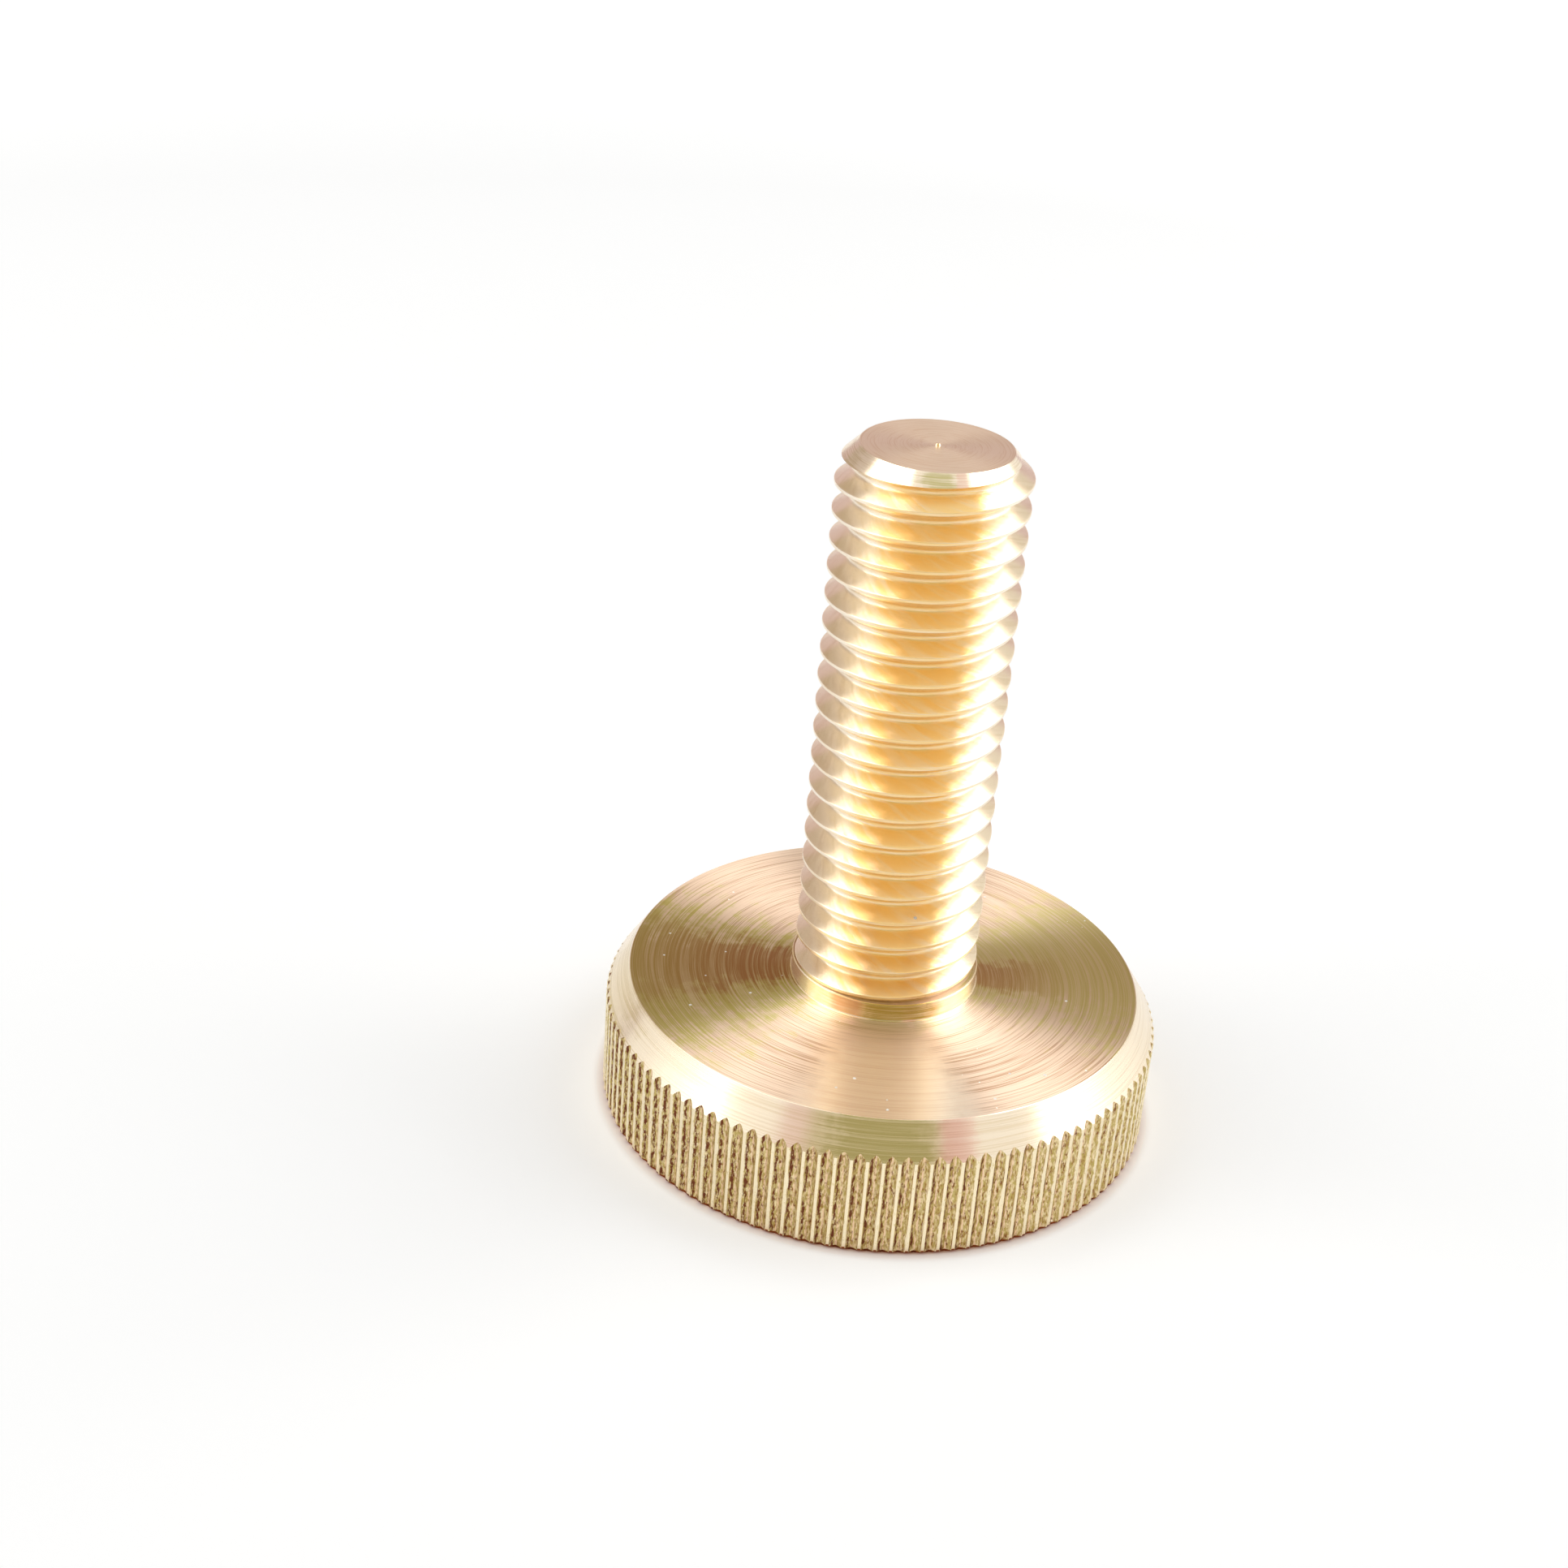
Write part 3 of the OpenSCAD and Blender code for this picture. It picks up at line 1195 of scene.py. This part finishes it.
    def region_of(self, center: Vector, normal: Vector) -> Region:
        """Tells from a face's place and direction how it was finished.

        Args:
            center: The face's middle, in metres.
            normal: Its direction.

        Returns:
            The region that the face belongs to.
        """
        head, shank = self.head, self.shank
        radius, height = center.xy.length / MM, center.z / MM
        tip_line = shank.thread.outer_radius - shank.tip_chamfer + shank.top - height
        if abs(normal.z) > self.FLAT:
            by_seat = abs(height - head.height) < self.SEAT_REACH * head.neck_length
            return Region.FACED if by_seat else Region.TIP
        foot = head.end_break * (1.0 if normal.z < self.DOWN else self.SHOWN_BREAK)
        if height < foot and radius > head.radius - self.BREAK_RING * head.end_break:
            return Region.BROKEN_EDGE
        if radius > head.face_radius - self.SLACK and self.CHAMFER < normal.z < self.FLAT:
            return Region.CHAMFERED
        if radius > head.face_radius:
            return Region.KNURLED
        if abs(radius - tip_line) < self.TIP_SLACK or height < head.height + self.SLACK:
            return Region.CHAMFERED
        return Region.THREADED

    def dress(self, screw: bpy.types.Object) -> None:
        """Gives each face the material of its region.

        Args:
            screw: The finished mesh object.
        """
        screw.data.materials.clear()
        places = {}
        for finish in self.finishes:
            places[finish.region] = len(screw.data.materials)
            screw.data.materials.append(finish.make())
        for face in screw.data.polygons:
            face.material_index = places[self.region_of(face.center, face.normal)]


# ------------------------------------------------------------------------------------------------- scene


@dataclass(frozen=True)
class Spot:
    """A flat rectangle round the set, `distance` metres off and placed and sized as the screw sees it."""

    name: str
    azimuth: float
    elevation: float
    width: float
    height: float
    color: str = WHITE
    level: float = 1.0
    distance: float = 0.6

    # Height of the point that the rectangles face, in metres
    AIM: ClassVar[float] = 0.02

    @property
    def size(self) -> Pair:
        """Its width and height in metres."""
        halves = (math.radians(angle / 2) for angle in (self.width, self.height))
        return tuple(2 * self.distance * math.tan(half) for half in halves)

    def placement(self) -> Matrix:
        """Stands it at its distance, facing the screw.

        Returns:
            The turn and place, with the rectangle's front along the local +Z.
        """
        azimuth, elevation = math.radians(self.azimuth), math.radians(self.elevation)
        flat = math.cos(elevation)
        outward = Vector((flat * math.cos(azimuth), flat * math.sin(azimuth), math.sin(elevation)))
        middle = Vector((0.0, 0.0, self.AIM))
        turn = (-outward).to_track_quat("Z", "Y").to_matrix().to_4x4()
        return Matrix.Translation(middle + outward * self.distance) @ turn

    def build_card(self) -> None:
        """Adds it as a board that only shows in reflections."""
        deselect_all()
        bpy.ops.mesh.primitive_plane_add(size=1.0, location=(0.0, 0.0, 0.0))
        board = bpy.context.object
        board.name = self.name
        board.data.transform(self.placement() @ Matrix.Diagonal((*self.size, 1.0, 1.0)))
        material = bpy.data.materials.new(self.name)
        tree = empty_tree(material)
        glow = add_node(tree, "Emission", {"Color": srgb(self.color), "Strength": self.level})
        add_node(tree, "OutputMaterial", {"Surface": glow})
        board.data.materials.append(material)
        board.visible_camera = False
        board.visible_diffuse = False
        board.visible_shadow = False

    def build_softbox(self) -> None:
        """Adds it as a lamp whose face looks as bright as its level, where white paper is 1."""
        data = bpy.data.lights.new(self.name, "AREA")
        data.shape = "RECTANGLE"
        data.size, data.size_y = self.size
        data.energy = math.pi * data.size * data.size_y * self.level
        data.color = srgb(self.color)[:3]
        light = bpy.data.objects.new(self.name, data)
        bpy.context.scene.collection.objects.link(light)
        light.matrix_world = self.placement() @ Matrix.Rotation(math.pi, 4, "X")


@dataclass
class Studio:
    """A white floor under soft light, with the camera that looks down on the screw."""

    camera_place: tuple[float, float, float] = (-6.145, -110.633, 76.558)
    pitch: float = 27.773
    roll: float = 4.466
    lens: float = 55.144
    sensor: float = 36.0
    # Nearest and furthest that the camera sees, in metres
    view: Pair = (0.001, 10.0)
    # Softboxes light the screw, and show in it as white fans
    softboxes: tuple[Spot, ...] = (
        Spot("softbox_left", -174.0, 45.0, 38.0, 46.0, level=3.1),
        Spot("softbox_right", 20.0, 48.0, 40.0, 34.0, level=3.4),
        Spot("softbox_right_low", 8.0, 20.0, 56.0, 24.0, level=1.5),
        Spot("softbox_back", 110.0, 57.0, 38.0, 20.0, level=0.9),
    )
    # Cards only show in it, as the room's warm greys between the fans
    cards: tuple[Spot, ...] = (
        Spot("camera_card", -90.0, 32.0, 48.0, 28.0, "#C4BC94", distance=0.5),
        Spot("front_card", -90.0, 34.0, 68.0, 34.0, "#E8D0D0", distance=0.55),
        Spot("back_card", 90.0, 34.0, 56.0, 20.0, "#B8A684", distance=0.55),
        Spot("back_low_card", 95.0, 12.0, 70.0, 24.0, "#DCC8CE"),
        Spot("back_left_card", 140.0, 22.0, 34.0, 46.0, "#CEC2BE"),
    )
    paper: str = "#D8D8D7"
    floor_size: float = 4.0
    # The lamps don't reach the far floor, so its glow grows to white between these distances, in metres
    glow: float = 0.42
    far: Pair = (0.2, 0.6)
    # Next to the screw's edge the floor's glow is painted brown: a painted contact shadow, tinged as by the
    # light that the brass throws down
    contact: Pair = (14.7, 15.5)
    painted_contact_shadow: str = "#9C5A28"
    surround: float = 0.1

    def build(self) -> None:
        """Adds the floor, the lights, the world and the camera."""
        self.add_floor()
        for card in self.cards:
            card.build_card()
        for softbox in self.softboxes:
            softbox.build_softbox()
        self.add_world()
        self.add_camera()
        bpy.context.scene.view_settings.view_transform = "Standard"

    def add_camera(self) -> None:
        """Adds the camera and makes it the scene's own."""
        data = bpy.data.cameras.new("camera")
        data.lens = self.lens
        data.sensor_width = self.sensor
        data.clip_start, data.clip_end = self.view
        camera = bpy.data.objects.new("camera", data)
        bpy.context.scene.collection.objects.link(camera)
        tilt = Matrix.Rotation(math.radians(90 - self.pitch), 4, "X")
        turn = tilt @ Matrix.Rotation(math.radians(self.roll), 4, "Z")
        camera.matrix_world = Matrix.Translation(Vector(self.camera_place) * MM) @ turn
        bpy.context.scene.camera = camera

    def shown(self, tree: bpy.types.NodeTree) -> Source:
        """Tells the rays that show a surface, straight or in metal or glass, from those that light others.

        Args:
            tree: The node tree to add to.

        Returns:
            What is 1 for a ray that shows the surface and 0 for the others.
        """
        rays = add_node(tree, "LightPath").outputs
        straight = {0: rays["Is Camera Ray"], 1: rays["Is Glossy Ray"]}
        seen = add_node(tree, "Math", straight, operation="MAXIMUM")
        return add_node(tree, "Math", {0: seen, 1: rays["Is Transmission Ray"]}, operation="MAXIMUM")

    def add_floor(self) -> None:
        """Adds the white paper that the screw stands on."""
        deselect_all()
        bpy.ops.mesh.primitive_plane_add(size=self.floor_size, location=(0.0, 0.0, 0.0))
        floor = bpy.context.object
        floor.name = "floor"
        material = bpy.data.materials.new("white_paper")
        tree = empty_tree(material)
        place = add_node(tree, "TexCoord").outputs["Object"]
        away = add_node(tree, "VectorMath", {0: place}, operation="LENGTH")
        near, far = self.far
        level = {"Value": away, "From Min": near, "From Max": far, "To Min": self.glow}
        glow = {0: self.shown(tree), 1: add_node(tree, "MapRange", level)}
        strength = add_node(tree, "Math", glow, operation="MULTIPLY")
        # A painted contact shadow: the glow turns brown next to the screw's edge
        inner, outer = self.contact
        edge = {"Value": away, "From Min": inner * MM, "From Max": outer * MM}
        beyond_contact_shadow = add_node(tree, "MapRange", edge)
        tinge = add_node(tree, "Mix", {0: beyond_contact_shadow, 6: srgb(self.painted_contact_shadow), 7: srgb(WHITE)}, data_type="RGBA")
        paper = add_node(tree, "BsdfDiffuse", {"Color": srgb(self.paper)})
        light = add_node(tree, "Emission", {"Color": tinge, "Strength": strength})
        both = add_node(tree, "AddShader", {0: paper, 1: light})
        add_node(tree, "OutputMaterial", {"Surface": both})
        floor.data.materials.append(material)

    def add_world(self) -> None:
        """Adds a plain white surround, which lights the scene at a softer level than it shows."""
        world = bpy.data.worlds.new("surround")
        bpy.context.scene.world = world
        tree = empty_tree(world)
        white = add_node(tree, "Background", {"Color": srgb(WHITE), "Strength": 1.0})
        soft = add_node(tree, "Background", {"Color": srgb(WHITE), "Strength": self.surround})
        mix = add_node(tree, "MixShader", {0: self.shown(tree), 1: soft, 2: white})
        add_node(tree, "OutputWorld", {"Surface": mix})


def main() -> None:
    """Builds the screw and the studio, and reports each piece."""
    logging.basicConfig(level=logging.INFO, format="%(name)s: %(message)s")
    screw = ThumbScrew().build()
    screw.data.calc_loop_triangles()
    LOG.info("%s: %d triangles", screw.name, len(screw.data.loop_triangles))
    Studio().build()


if __name__ == "__main__":
    main()
